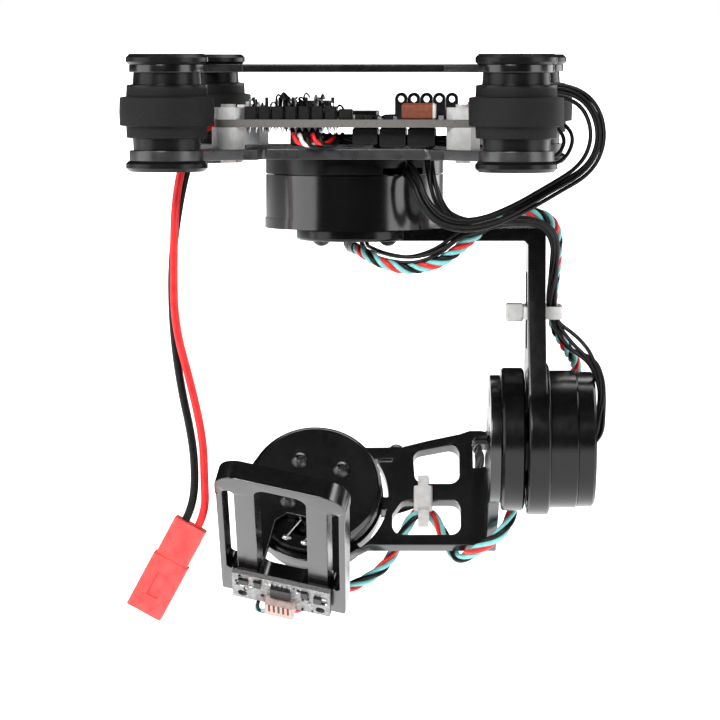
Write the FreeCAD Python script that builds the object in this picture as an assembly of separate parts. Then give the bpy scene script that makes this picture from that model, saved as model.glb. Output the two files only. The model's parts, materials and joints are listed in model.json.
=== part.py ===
import FreeCAD, Part
import math
import os

# Three-axis brushless camera gimbal: a rubber-damped controller deck, and below it a
# yaw, a roll and a pitch stage in a chain. Millimetres, +Z up.
# The origin is the centre of the top plate's upper face, on the yaw axis.
# Each stage is drawn level and square, and is then turned to the pose at rest.

V = FreeCAD.Vector
X, Y, Z = V(1, 0, 0), V(0, 1, 0), V(0, 0, 1)

# ---- pose at rest, degrees ----
YAW_REST = 4.43
ROLL_REST = -33.0
PITCH_REST = 13.8

# ---- deck ----
DAMPER_AT = 33.0            # each damper's distance from the axis in X and in Y
PLATE_HALF = 27.0           # half the side of a plate's square middle
ARM_WIDE = 11.0             # width of a plate's diagonal arms
EAR_R = 7.1
TOP_THICK = 1.5
LOW_TOP, LOW_BOTTOM = -16.2, -18.2
RECESS_HALF, RECESS_Y = 16.5, -21.0
LEAD_HOLE = (15.3, -13.6)    # where the arm's leads come down through the lower plate
NECK_R = 4.6
FLANGE_R, FLANGE_THICK = 7.75, 2.0
MOUNT_AT = 17.5             # mounting holes of the top plate, from the axis in X and Y
MOUNT_R = 1.6               # clearance hole for an M3 screw

# ---- controller board ----
BOARD = 50.0
HOLE_AT = 22.5              # half of the 45 mm hole spacing
PCB_TOP, PCB_BOTTOM = -10.5, -12.0
M3_R, M3_HOLE_R = 1.45, 1.6
STANDOFF_FLATS = 5.5
PITCH_254 = 2.54

RUNNING_FIT = 0.06          # a bearing's bore round its shaft

# ---- yaw motor (outer rotor), heights below the lower plate ----
YAW_R = 17.5
YAW_BAND = 3.1
YAW_LONG = 13.8

# ---- yaw arm ----
ARM_TOP, ARM_BOTTOM = -32.0, -34.5
PAD_R = 11.5
YAW_ARM_HALF = 6.5
WEB_X0, WEB_X1 = 33.9, 37.4

# ---- roll motor, X' along the roll axis from the yaw axis ----
ROLL_Z = -74.0
ROLL_FLANGE = (26.6, 28.7)
ROLL_DISC_X, ROLL_DISC_T, ROLL_DISC_R = 28.9, 4.4, 14.15
RING_X0, RING_X1, RING_R = 33.9, 38.3, 15.0
SMALL_R = 13.6              # radius of the roll motor's housing
ROLL_HOUSE_X1 = 43.8
CAP_R, CAP_T = 13.35, 3.4

# ---- pitch motor, D along its axis, positive away from the tray ----
PITCH_X, PITCH_W = -8.1, 1.0    # the pitch axis, along and above the roll axis
PITCH_R = 12.9              # radius of the pitch motor's housing
PLATE_D0, PLATE_D1 = 27.0, 30.0
PITCH_DISC_D, PITCH_DISC_T, PITCH_DISC_R = 24.1, 2.3, 13.5
PITCH_HOUSE_D0, PITCH_HOUSE_D1 = 27.2, 34.5
PITCH_RING_R = 14.9

# ---- camera tray, H below the pitch axis ----
DISC_R, DISC_D0, DISC_D1 = 13.6, 22.0, 24.0
TRAY_H0, TRAY_H1 = 21.8, 25.8
TRAY_NEAR, TRAY_FAR = -26.0, 24.0
TRAY_HALF, HEAD_HALF = 12.75, 12.95

# ---- leads ----
LEAD_R = 0.8
LOOM_R = 0.9
IMU_CABLE_R = 1.15
RIBBON_R = 1.1


def cyl(r, h, at=V(0, 0, 0), along=Z):
    return Part.makeCylinder(r, h, at, along)


def tube(outer, inner, h, at=V(0, 0, 0), along=Z):
    return cyl(outer, h, at, along).cut(cyl(inner, h, at, along))


def box(x0, x1, y0, y1, z0, z1):
    return Part.makeBox(x1 - x0, y1 - y0, z1 - z0, V(x0, y0, z0))


def prism(points, along, at):
    """A solid whose outline is a closed polygon at `at`, pulled along a vector."""
    corners = [at + p for p in points]
    return Part.Face(Part.makePolygon(corners + [corners[0]])).extrude(along)


def hexagon(flats, h, at):
    r = flats / math.sqrt(3)
    points = [V(r * math.cos(math.radians(60 * i)), r * math.sin(math.radians(60 * i)), 0)
              for i in range(6)]
    return prism(points, Z * h, at)


def fuse(shapes):
    out = shapes[0].multiFuse(shapes[1:])
    return out.removeSplitter()


def group(shapes):
    """Separate equal pieces, kept as one node."""
    return Part.makeCompound(shapes)


def around(shape, count, axis=Z, at=V(0, 0, 0), first=0.0):
    out = []
    for i in range(count):
        one = shape.copy()
        one.rotate(at, axis, first + 360.0 * i / count)
        out.append(one)
    return out


def bevel(shape, size, keep):
    """Chamfer the edges for which keep(edge) is true, or return the shape unchanged."""
    edges = [e for e in shape.Edges if keep(e)]
    try:
        out = shape.makeChamfer(size, edges)
        return out if out.isValid() and out.Volume > 0.5 * shape.Volume else shape
    except Exception:
        return shape


def rounded(shape, size, keep):
    """Fillet the edges for which keep(edge) is true, or return the shape unchanged."""
    edges = [e for e in shape.Edges if keep(e)]
    try:
        out = shape.makeFillet(size, edges)
        return out if out.isValid() and out.Volume > 0.5 * shape.Volume else shape
    except Exception:
        return shape


def vertical(e):
    a, b = e.Vertexes[0].Point, e.Vertexes[-1].Point
    return (b - a).Length > 1e-6 and abs(abs((b - a).normalize().z) - 1) < 1e-6


def is_circle(e, r):
    return hasattr(e.Curve, "Radius") and abs(e.Curve.Radius - r) < 1e-6


def slot(x0, x1, y0, y1, z0, z1, r):
    """A box along Z with all four upright corners rounded."""
    return rounded(box(x0, x1, y0, y1, z0, z1), r, vertical)


def cord(points, r, name):
    """A round cord along straight runs joined by tangent arcs."""
    points = [V(*p) for p in points]
    edges, start, radii, length = [], points[0], [], 0.0
    for before, here, after in zip(points, points[1:], points[2:]):
        a, b = (before - here).normalize(), (after - here).normalize()
        half_turn = (math.pi - a.getAngle(b)) / 2
        back = 0.45 * min((before - here).Length, (after - here).Length)
        radius = back / math.tan(half_turn)
        centre = here + (a + b).normalize() * (radius / math.cos(half_turn))
        top = centre + (here - centre).normalize() * radius
        edges.append(Part.LineSegment(start, here + a * back).toShape())
        edges.append(Part.Arc(here + a * back, top, here + b * back).toShape())
        start = here + b * back
        radii.append(radius)
    edges.append(Part.LineSegment(start, points[-1]).toShape())
    path = Part.Wire(edges)
    length = sum(e.Length for e in edges)
    ring = Part.Wire(Part.makeCircle(r, points[0], points[1] - points[0]))
    out = path.makePipeShell([ring], True, False)
    ideal = math.pi * r * r * length
    print(name, "length %.1f" % length, "least radius %.1f" % min(radii),
          "radii", ["%.0f" % x for x in radii], "volume ratio %.3f" % (out.Volume / ideal))
    return out


def dome_screw(head_r, head_h, shank_r, shank, socket_r):
    """A button-head screw, seat at z = 0, head upwards, shank downwards."""
    ball_r = (head_r ** 2 + head_h ** 2) / (2 * head_h)
    cap = Part.makeSphere(ball_r, V(0, 0, head_h - ball_r)).common(cyl(head_r, head_h))
    cap = cap.cut(hexagon(socket_r * 1.732, head_h, V(0, 0, 0.4 * head_h)))
    return cap.fuse(cyl(shank_r, shank, V(0, 0, -shank)))


# ---------------------------------------------------------------- placements
def turn(axis, angle, at=V(0, 0, 0)):
    return FreeCAD.Placement(V(0, 0, 0), FreeCAD.Rotation(axis, angle), at)


YAW = turn(Z, YAW_REST)
ROLL_MOVE = FreeCAD.Placement(V(0, 0, ROLL_Z), FreeCAD.Rotation(X, ROLL_REST))
ROLL = YAW.multiply(ROLL_MOVE)
PITCH_MOVE = FreeCAD.Placement(V(PITCH_X, 0, PITCH_W), FreeCAD.Rotation(Y, PITCH_REST))
PITCH = ROLL.multiply(PITCH_MOVE)
NODES = {}


def put(name, shape, place=None):
    if place is not None:
        shape = shape.transformed(place.toMatrix(), True)
    NODES[name] = shape


# ---------------------------------------------------------------- deck plates
def plate(z0, z1):
    parts = [box(-PLATE_HALF, PLATE_HALF, -PLATE_HALF, PLATE_HALF, z0, z1)]
    reach = DAMPER_AT * math.sqrt(2)
    for angle in (45, 135):
        arm = box(-reach, reach, -ARM_WIDE / 2, ARM_WIDE / 2, z0, z1)
        arm.rotate(V(0, 0, 0), Z, angle)
        parts.append(arm)
    for sx in (-1, 1):
        for sy in (-1, 1):
            parts.append(cyl(EAR_R, z1 - z0, V(sx * DAMPER_AT, sy * DAMPER_AT, z0)))
    out = fuse(parts)
    for sx in (-1, 1):
        for sy in (-1, 1):
            out = out.cut(cyl(NECK_R, z1 - z0, V(sx * DAMPER_AT, sy * DAMPER_AT, z0)))
    return out


top = plate(-TOP_THICK, 0)
for sx in (-1, 1):
    top = top.cut(slot(sx * 23 - 1.75, sx * 23 + 1.75, -13, 13, -TOP_THICK, 0, 1.7))
    top = top.cut(slot(-13, 13, sx * 22.5 - 1.75, sx * 22.5 + 1.75, -TOP_THICK, 0, 1.7))
    for sy in (-1, 1):
        top = top.cut(cyl(MOUNT_R, TOP_THICK, V(sx * MOUNT_AT, sy * MOUNT_AT, -TOP_THICK)))
top = top.cut(slot(-12, 12, -12, 12, -TOP_THICK, 0, 4))
put("top_plate", top)

low_thick = LOW_TOP - LOW_BOTTOM
low = plate(LOW_BOTTOM, LOW_TOP)
low = low.cut(slot(-RECESS_HALF, RECESS_HALF, -40, RECESS_Y, LOW_BOTTOM, LOW_TOP, 1.5))
low = low.cut(slot(-9, 9, 19.3, 24.3, LOW_BOTTOM, LOW_TOP, 2.4))
for sx in (-1, 1):
    low = low.cut(slot(sx * 22.5 - 1.6, sx * 22.5 + 1.6, -10, 10, LOW_BOTTOM, LOW_TOP, 1.5))
    for sy in (-1, 1):
        low = low.cut(cyl(M3_HOLE_R, low_thick, V(sx * HOLE_AT, sy * HOLE_AT, LOW_BOTTOM)))
low = low.cut(cyl(3.3, low_thick, V(0, 0, LOW_BOTTOM)))
low = low.cut(cyl(1.6, low_thick, V(*LEAD_HOLE, LOW_BOTTOM)))
for hole in around(cyl(1.1, low_thick, V(8.0, 0, LOW_BOTTOM)), 4, first=45):
    low = low.cut(hole)
put("bottom_plate", low)


# ---------------------------------------------------------------- rubber dampers
def damper():
    """A hollow stepped ball between two button flanges that snap through the plates."""
    t, b = -TOP_THICK, LOW_TOP
    outline = [(1.6, FLANGE_THICK), (FLANGE_R - 0.7, FLANGE_THICK), (FLANGE_R, FLANGE_THICK - 0.7),
               (FLANGE_R, 0.5), (FLANGE_R - 0.5, 0), (NECK_R, 0), (NECK_R, t),
               (6.3, t), (6.45, t - 2.2), (7.6, t - 2.4), (7.7, t - 4.5), (8.9, t - 4.7),
               (9.0, t - 7.35), (8.9, b + 4.7), (7.7, b + 4.5), (7.6, b + 2.4),
               (6.45, b + 2.2), (6.3, b), (NECK_R, b), (NECK_R, LOW_BOTTOM),
               (FLANGE_R - 0.5, LOW_BOTTOM), (FLANGE_R, LOW_BOTTOM - 0.5),
               (FLANGE_R, LOW_BOTTOM - 1.3), (FLANGE_R - 0.7, LOW_BOTTOM - FLANGE_THICK),
               (1.6, LOW_BOTTOM - FLANGE_THICK), (1.6, b + 2.2), (4.6, b + 3.4),
               (6.6, b + 5.4), (6.6, t - 5.4), (4.6, t - 3.4), (1.6, t - 2.2)]
    face = Part.Face(Part.makePolygon([V(r, 0, z) for r, z in outline + outline[:1]]))
    return face.revolve(V(0, 0, 0), Z, 360)


for name, sx, sy in (("front_left", -1, -1), ("front_right", 1, -1),
                     ("rear_left", -1, 1), ("rear_right", 1, 1)):
    one = damper()
    one.translate(V(sx * DAMPER_AT, sy * DAMPER_AT, 0))
    put("damper_" + name, one)

# ---------------------------------------------------------------- controller board
corners = [(sx * HOLE_AT, sy * HOLE_AT) for sx in (-1, 1) for sy in (-1, 1)]
half = BOARD / 2
board = slot(-half, half, -half, half, PCB_BOTTOM, PCB_TOP, 1.5)
for x, y in corners:
    board = board.cut(cyl(M3_HOLE_R, PCB_TOP - PCB_BOTTOM, V(x, y, PCB_BOTTOM)))
put("controller_board", board)

standoffs, nuts, studs = [], [], []
for x, y in corners:
    post = hexagon(STANDOFF_FLATS, PCB_BOTTOM - LOW_TOP, V(x, y, LOW_TOP))
    standoffs.append(post.cut(cyl(M3_R + 0.05, PCB_BOTTOM - LOW_TOP, V(x, y, LOW_TOP))))
    nut = hexagon(STANDOFF_FLATS, 2.3, V(x, y, PCB_TOP))
    nuts.append(nut.cut(cyl(M3_R + 0.05, 2.3, V(x, y, PCB_TOP))))
    stud = cyl(M3_R, PCB_TOP + 2.9 - LOW_BOTTOM + 0.6, V(x, y, LOW_BOTTOM - 0.6))
    studs.append(stud)
put("board_standoffs", group(standoffs))
put("board_nuts", group(nuts))
put("board_studs", group(studs))

# front header: a row of right-angle housings with bent metal pins behind them
HEADER_X0, HEADER_Y0, HEADER_COUNT, HEADER_H = -19.2, -24.6, 7, 2.5
housings, pins = [], []
for i in range(HEADER_COUNT):
    x = HEADER_X0 + i * PITCH_254
    cell = box(x, x + PITCH_254 - 0.14, HEADER_Y0, HEADER_Y0 + 2.5, PCB_TOP, PCB_TOP + HEADER_H)
    housings.append(bevel(cell, 0.3, vertical))
    mid = x + PITCH_254 / 2
    pin = box(mid - 0.3, mid + 0.3, HEADER_Y0 + 2.5, HEADER_Y0 + 4.6, PCB_TOP + 1.0, PCB_TOP + 1.6)
    leg = box(mid - 0.3, mid + 0.3, HEADER_Y0 + 4.6, HEADER_Y0 + 5.2, PCB_TOP, PCB_TOP + 4.2)
    pins.append(pin.fuse(leg))
put("header_front", group(housings))

# right header: five rounded hoods standing on the board, each with its contact hole
hoods = []
for i in range(5):
    x = 8.9 + i * 2.45
    hood = box(x, x + 2.3, -14.5, -12.0, PCB_TOP, PCB_TOP + 3.9)
    hood = hood.fuse(cyl(1.15, 2.5, V(x + 1.15, -14.5, PCB_TOP + 3.9), Y))
    hoods.append(hood.cut(cyl(0.62, 2.5, V(x + 1.15, -14.5, PCB_TOP + 3.8), Y)))
put("header_right", group(hoods))
put("board_capacitor", bevel(box(10.7, 17.2, -22.2, -18.7, PCB_TOP, PCB_TOP + 3.1), 0.35,
                             lambda e: not vertical(e)))

chips = [box(-4.5, 4.5, -4.0, 5.0, PCB_TOP, PCB_TOP + 1.4),
         box(-16, -11, 8, 14, PCB_TOP, PCB_TOP + 1.5),
         box(-1.2, 1.4, -24.4, -21.9, PCB_TOP, PCB_TOP + 2.0),
         box(1.9, 3.9, -24.3, -22.6, PCB_TOP, PCB_TOP + 0.9),
         box(4.6, 6.6, -22.5, -20.5, PCB_TOP, PCB_TOP + 0.8),
         box(7.2, 9.2, -23.8, -22.4, PCB_TOP, PCB_TOP + 0.9),
         box(-12.5, -3.5, -13.5, -8.5, PCB_TOP, PCB_TOP + 3.5),
         box(11, 17, 2, 8, PCB_TOP, PCB_TOP + 1.5),
         box(11, 17, 11, 17, PCB_TOP, PCB_TOP + 1.5)]
put("board_parts", group([bevel(c, 0.15, lambda e: True) for c in chips] + pins))

# motor connectors: the leads' plugs, held under the board's front right
plugs = []
for x, w, z in ((1.2, 4.8, -15.4), (6.4, 5.0, -15.9), (11.8, 5.2, -16.0)):
    plugs.append(bevel(box(x, x + w, -21.2, -16.0, z, PCB_BOTTOM), 0.4, lambda e: not vertical(e)))
plugs.append(bevel(box(-10.8, -5.2, -20.5, -16.5, -15.6, PCB_BOTTOM), 0.4,
                   lambda e: not vertical(e)))
put("board_plugs", group(plugs))


# ---------------------------------------------------------------- yaw motor
def outer_rotor_motor():
    """Axis along +Z from the mounting face at z = 0. The cup turns round the stator."""
    r, band, long = YAW_R, YAW_BAND, YAW_LONG
    base = cyl(r, 1.8).fuse(tube(r, r - 1.4, band))
    base = base.fuse(tube(4.2, 2.6, long - 3.2))
    base = base.fuse(tube(r - 1.75, r - 2.5, band + 0.7))
    base = base.cut(cyl(2.6, 1.8))
    base = base.cut(box(r * 0.5, r, -4.6, 4.6, 1.8, band))
    core = tube(7.4, 4.2, 5.6, V(0, 0, band + 1.4))
    teeth = [core]
    tooth = box(7.0, 13.8, -0.9, 0.9, band + 1.4, band + 7.0)
    shoe = tube(14.5, 13.6, 5.6, V(0, 0, band + 1.4))
    shoe = shoe.common(box(10, 15, -2.9, 2.9, band + 1.4, band + 7.0))
    for i in range(12):
        for part in (tooth, shoe):
            one = part.copy()
            one.rotate(V(0, 0, 0), Z, 30 * i)
            teeth.append(one)
    core = fuse(teeth)
    coil = box(8.2, 13.3, -1.75, 1.75, band + 0.8, band + 7.6)
    coil = coil.cut(box(8.0, 13.6, -0.95, 0.95, band + 1.35, band + 7.05))
    windings = group(around(coil, 12))
    bearing = tube(2.6, 1.5 + RUNNING_FIT, 2.5)
    high = bearing.copy()
    high.translate(V(0, 0, long - 5.7))
    bearings = group([bearing, high])
    bell = tube(r, r - 1.4, long - 2.0 - band - 0.25, V(0, 0, band + 0.25))
    bell = bell.fuse(cyl(r + 0.2, 2.0, V(0, 0, long - 2.0)))
    bell = bell.fuse(cyl(3.4, 1.0, V(0, 0, long - 2.9)))
    bell = bell.cut(cyl(1.5, 6, V(0, 0, long - 5)))
    bell = bevel(bell, 0.35, lambda e: is_circle(e, r + 0.2))
    for hole in around(cyl(0.9, 4, V(9.2, 0, long - 3)), 4, first=45):
        bell = bell.cut(hole)
    magnet = tube(r - 1.4, r - 2.5, 6.2, V(0, 0, band + 1.1))
    magnet = magnet.common(box(8, r, -3.2, 3.2, band + 1.1, band + 7.3))
    magnets = group(around(magnet, 14))
    shaft = tube(1.5, 0.9, long + 0.0)
    return base, core, windings, bearings, bell, magnets, shaft


down = FreeCAD.Placement(V(0, 0, LOW_BOTTOM), FreeCAD.Rotation(X, 180))
base, core, windings, bearings, bell, magnets, shaft = outer_rotor_motor()
notch_turn = FreeCAD.Placement(V(0, 0, LOW_BOTTOM), FreeCAD.Rotation(Z, -52).multiply(
    FreeCAD.Rotation(X, 180)))
put("yaw_base", base, notch_turn)
put("yaw_core", core, down)
put("yaw_windings", windings, down)
put("yaw_bearings", bearings, down)
put("yaw_bell", bell, YAW.multiply(down))
put("yaw_magnets", magnets, YAW.multiply(down))
put("yaw_shaft", shaft, YAW.multiply(down))
base_screw = dome_screw(1.9, 1.1, 1.0, low_thick, 0.6)
base_screw.translate(V(8.0, 0, LOW_TOP))
put("yaw_base_screws", group(around(base_screw, 4, first=45)))

# ---------------------------------------------------------------- yaw arm
pad = cyl(PAD_R, ARM_TOP - ARM_BOTTOM, V(0, 0, ARM_BOTTOM))
bar = box(0, WEB_X1, -YAW_ARM_HALF, YAW_ARM_HALF, ARM_BOTTOM, ARM_TOP)
web = prism([V(0, -YAW_ARM_HALF, ARM_TOP), V(0, YAW_ARM_HALF, ARM_TOP),
             V(0, YAW_ARM_HALF, -46), V(0, 11.5, -64.5), V(0, 11.5, ROLL_Z),
             V(0, -11.5, ROLL_Z), V(0, -11.5, -64.5), V(0, -YAW_ARM_HALF, -46)],
            X * (WEB_X1 - WEB_X0), V(WEB_X0, 0, 0))
gusset = prism([V(WEB_X0 - 0.7, 0, ARM_BOTTOM), V(WEB_X0, 0, ARM_BOTTOM),
                V(WEB_X0, 0, ARM_BOTTOM - 0.7)], Y * 13, V(0, -YAW_ARM_HALF, 0))
ring = cyl(RING_R, RING_X1 - RING_X0, V(RING_X0, 0, ROLL_Z), X)
arm = fuse([pad, bar, web, gusset, ring])
arm = arm.cut(cyl(SMALL_R, 10, V(RING_X0 - 2, 0, ROLL_Z), X))
arm = arm.cut(cyl(1.6, 6, V(0, 0, ARM_BOTTOM - 1)))
arm = arm.cut(box(30, 40, -3.4, 3.4, -56, -41))
arm = arm.cut(slot(14, 29, -2.8, 2.8, ARM_BOTTOM, ARM_TOP, 2.7))
for hole in around(cyl(1.0, 4, V(9.2, 0, ARM_BOTTOM - 1)), 4, first=45):
    arm = arm.cut(hole)
arm = bevel(arm, 0.4, lambda e: is_circle(e, RING_R) or is_circle(e, PAD_R))
put("yaw_arm", arm, YAW)
pad_screw = dome_screw(1.7, 1.0, 0.85, 3.6, 0.5)
pad_screw.rotate(V(0, 0, 0), X, 180)
pad_screw.translate(V(9.2, 0, ARM_BOTTOM))
put("yaw_arm_screws", group(around(pad_screw, 4, first=45)), YAW)


# ---------------------------------------------------------------- roll and pitch motors
def inner_rotor_motor(r, disc_t, disc_r, house0, house1, spokes):
    """Axis along +Z. The rotor's face is at z = 0, the housing runs from house0 to house1."""
    back = 1.4
    house = tube(r, r - 1.1, house1 - house0, V(0, 0, house0))
    house = house.fuse(cyl(r - 0.5, back, V(0, 0, house1 - back)))
    house = house.fuse(tube(3.6, 2.5, house1 - house0 - 1.2, V(0, 0, house0 + 1.2)))
    house = house.cut(cyl(2.5, 30))
    house = bevel(house, 0.35, lambda e: is_circle(e, r) and e.BoundBox.ZMin > house1 - 0.01)
    z0, z1 = house0 + 1.6, house1 - back - 1.4
    core = [tube(r - 1.1, r - 2.3, z1 - z0, V(0, 0, z0))]
    tooth = box(8.4, r - 2.0, -0.6, 0.6, z0, z1)
    core = fuse(core + around(tooth, 12))
    coil = box(8.7, r - 2.4, -1.15, 1.15, z0 - 0.5, z1 + 0.5)
    coil = coil.cut(box(8.5, r - 2.2, -0.62, 0.62, z0 - 0.03, z1 + 0.03))
    windings = group(around(coil, 12))
    bearing = tube(2.5, 1.5 + RUNNING_FIT, 2.2, V(0, 0, house0 + 1.2))
    far = tube(2.5, 1.5 + RUNNING_FIT, 2.2, V(0, 0, house1 - 2.2))
    rotor = cyl(disc_r, disc_t).fuse(tube(6.3, 4.2, z1 - disc_t + 0.5, V(0, 0, disc_t)))
    rotor = rotor.cut(cyl(1.5, 30))
    rotor = bevel(rotor, 0.4, lambda e: is_circle(e, disc_r))
    if spokes:
        gap = tube(10.9, 6.6, disc_t).common(box(6, 12, -2.2, 2.2, 0, disc_t))
        for one in around(gap, 6, first=30):
            rotor = rotor.cut(one)
    magnet = tube(7.8, 6.3, z1 - z0, V(0, 0, z0)).common(box(5, 8, -1.5, 1.5, z0, z1))
    magnets = group(around(magnet, 14))
    shaft = tube(1.5, 1.0, house1)
    return house, core, windings, group([bearing, far]), rotor, magnets, shaft


def end_cap(r, z0, notch):
    """A shallow round cover with a middle hole for the leads."""
    cap = cyl(r, CAP_T, V(0, 0, z0)).cut(cyl(r - 1.2, CAP_T - 1.3, V(0, 0, z0)))
    cap = cap.cut(cyl(2.0, 10, V(0, 0, z0)))
    cap = bevel(cap, 0.5, lambda e: is_circle(e, r) and e.BoundBox.ZMin > z0 + 1)
    if notch:
        cap = cap.cut(box(8, 16, -2.0, 2.0, z0 - 1, z0 + 2.1))
    return cap


to_x = FreeCAD.Placement(V(ROLL_DISC_X, 0, ROLL_Z), FreeCAD.Rotation(Y, 90))
to_x_roll = FreeCAD.Placement(V(ROLL_DISC_X, 0, 0), FreeCAD.Rotation(Y, 90))
house, core, windings, bearings, rotor, magnets, shaft = inner_rotor_motor(
    SMALL_R, ROLL_DISC_T, ROLL_DISC_R, RING_X0 + 0.2 - ROLL_DISC_X, ROLL_HOUSE_X1 - ROLL_DISC_X, False)
put("roll_housing", house, YAW.multiply(to_x))
put("roll_core", core, YAW.multiply(to_x))
put("roll_windings", windings, YAW.multiply(to_x))
put("roll_bearings", bearings, YAW.multiply(to_x))
put("roll_end_cap", end_cap(CAP_R, ROLL_HOUSE_X1 - ROLL_DISC_X, False), YAW.multiply(to_x))
put("roll_rotor", rotor, ROLL.multiply(to_x_roll))
put("roll_magnets", magnets, ROLL.multiply(to_x_roll))
put("roll_shaft", shaft, ROLL.multiply(to_x_roll))

to_d = FreeCAD.Placement(V(PITCH_X, PITCH_DISC_D, PITCH_W), FreeCAD.Rotation(X, -90))
to_d_pitch = FreeCAD.Placement(V(0, PITCH_DISC_D, 0), FreeCAD.Rotation(X, -90))
house, core, windings, bearings, rotor, magnets, shaft = inner_rotor_motor(
    PITCH_R, PITCH_DISC_T, PITCH_DISC_R, PITCH_HOUSE_D0 - PITCH_DISC_D, PITCH_HOUSE_D1 - PITCH_DISC_D, True)
put("pitch_housing", house, ROLL.multiply(to_d))
put("pitch_core", core, ROLL.multiply(to_d))
put("pitch_windings", windings, ROLL.multiply(to_d))
put("pitch_bearings", bearings, ROLL.multiply(to_d))
put("pitch_end_cap", end_cap(PITCH_R - 0.6, PITCH_HOUSE_D1 - PITCH_DISC_D, True), ROLL.multiply(to_d))
put("pitch_rotor", rotor, PITCH.multiply(to_d_pitch))
put("pitch_magnets", magnets, PITCH.multiply(to_d_pitch))
put("pitch_shaft", shaft, PITCH.multiply(to_d_pitch))

# ---------------------------------------------------------------- roll arm
# A plate square to the pitch axis with a ring round the pitch motor, and a flange
# square to the roll axis at its right end.
deep = PLATE_D1 - PLATE_D0
x0, x1 = ROLL_FLANGE
bar = prism([V(PITCH_X, 0, -8), V(2.8, 0, -10.2), V(x1, 0, -10.2), V(x1, 0, 15.4), V(26, 0, 16),
             V(23.6, 0, 16), V(21.5, 0, 15.2), V(15, 0, 13.7), V(9.5, 0, 12.2),
             V(PITCH_X, 0, 12.0)], Y * deep, V(0, PLATE_D0, 0))
belly = prism([V(PITCH_X, 0, PITCH_W - PITCH_RING_R), V(PITCH_X + 7, 0, -11.9),
               V(2.8, 0, -10.2), V(PITCH_X, 0, 0)], Y * deep, V(0, PLATE_D0, 0))
ring = cyl(PITCH_RING_R, deep, V(PITCH_X, PLATE_D0, PITCH_W), Y)
flange = cyl(12.7, x1 - x0, V(x0, 0, 0), X)
tail = box(x0, x1, 0, PLATE_D1, -10.2, 12.3)
roll_arm = fuse([bar, belly, ring, flange, tail])
roll_arm = roll_arm.cut(cyl(PITCH_R, 20, V(PITCH_X, PLATE_D0 - 5, PITCH_W), Y))
roll_arm = roll_arm.cut(cyl(3.0, 10, V(x0 - 2, 0, 0), X))
for angle in (45, 135, 225, 315):
    a = math.radians(angle)
    at = V(x0, 8.5 * math.cos(a), 8.5 * math.sin(a))
    roll_arm = roll_arm.cut(cyl(1.0, 3, at, X)).cut(cyl(1.75, 1.1, at, X))


def window(points):
    """A rounded opening through the plate, from its corners."""
    cut = prism([V(x, 0, w) for x, w in points], Y * 10, V(0, PLATE_D0 - 3, 0))
    return rounded(cut, 2.1, lambda e: abs(abs((e.Vertexes[-1].Point
                                                - e.Vertexes[0].Point).normalize().y) - 1) < 1e-6)


WEB_W1 = 3.8                # top of the web between the two openings
PINCH_SEAT = 12.05
roll_arm = roll_arm.cut(window([(12.3, WEB_W1), (21.4, WEB_W1), (21.4, 13.0), (11.9, 11.0)]))
roll_arm = roll_arm.cut(window([(7.6, -7.8), (21.5, -7.8), (21.5, 0), (9.7, 0), (7.6, -3.2)]))
roll_arm = roll_arm.cut(box(24.2, 26.9, PLATE_D0 - 1, PLATE_D1 + 1, 7.4, 12.9))


def arc_slot(a0, a1, inner, outer):
    """An arc-shaped slit round the pitch axis, between two angles from +X."""
    steps = 10
    points = []
    for r, order in ((inner, range(steps + 1)), (outer, range(steps, -1, -1))):
        for i in order:
            a = math.radians(a0 + (a1 - a0) * i / steps)
            points.append(V(PITCH_X + r * math.cos(a), 0, PITCH_W + r * math.sin(a)))
    return prism(points, Y * 10, V(0, PLATE_D0 - 3, 0))


roll_arm = roll_arm.cut(arc_slot(-1, 34, 13.9, 14.9))
roll_arm = roll_arm.cut(arc_slot(-52, -13, 13.9, 14.9))
roll_arm = roll_arm.cut(box(PITCH_X + 8, 7.7, PLATE_D0 - 1, PLATE_D1 + 1, 8.8, 9.5))
roll_arm = roll_arm.cut(cyl(0.85, 6, V(8.5, 28.5, 8.0)))
roll_arm = roll_arm.cut(cyl(1.95, 3, V(8.5, 28.5, PINCH_SEAT)))      # the screw's spot face
put("roll_arm", roll_arm, ROLL)

pinch = dome_screw(1.65, 1.3, 0.8, 3.4, 0.5)
pinch.translate(V(8.5, 28.5, PINCH_SEAT))
put("pinch_screw", pinch, ROLL)
flange_screw = cyl(1.65, 1.0, V(x0 + 0.1, 0, 8.5), X).fuse(cyl(0.95, x1 - x0 - 0.1,
                                                             V(x0 + 0.1, 0, 8.5), X))
flange_screw = flange_screw.cut(cyl(0.8, 0.6, V(x0 + 0.1, 0, 8.5), X))
put("roll_arm_screws", group(around(flange_screw, 4, X, V(0, 0, 0), 45)), ROLL)

# ---------------------------------------------------------------- camera tray
disc = cyl(DISC_R, DISC_D1 - DISC_D0, V(0, DISC_D0, 0), Y)
disc = bevel(disc, 0.8, lambda e: is_circle(e, DISC_R) and e.BoundBox.YMax < DISC_D0 + 0.01)
wall = prism([V(-12.7, 0, -TRAY_H1), V(12.7, 0, -TRAY_H1), V(9.6, 0, -9.0), V(-9.6, 0, -9.0)],
             Y * (DISC_D1 - DISC_D0), V(0, DISC_D0, 0))
gap = prism([V(-5.8, 0, -30), V(-5.8, 0, -9.6), V(-4.0, 0, -7.6), V(4.0, 0, -7.6),
             V(5.8, 0, -9.6), V(5.8, 0, -30)], Y * 3, V(0, DISC_D0 - 0.5, 0))
floor = slot(-TRAY_HALF, TRAY_HALF, TRAY_NEAR + 3, TRAY_FAR, -TRAY_H1, -TRAY_H0, 1.0)
head = slot(-HEAD_HALF, HEAD_HALF, TRAY_NEAR, TRAY_NEAR + 12, -TRAY_H1, -TRAY_H0, 4.8)
window_cut = slot(-5.1, 5.1, -23, 15.5, -TRAY_H1 - 1, -TRAY_H0 + 1, 2.5)
tray = fuse([disc, wall]).cut(gap)
tray = fuse([tray, floor, head])
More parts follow.
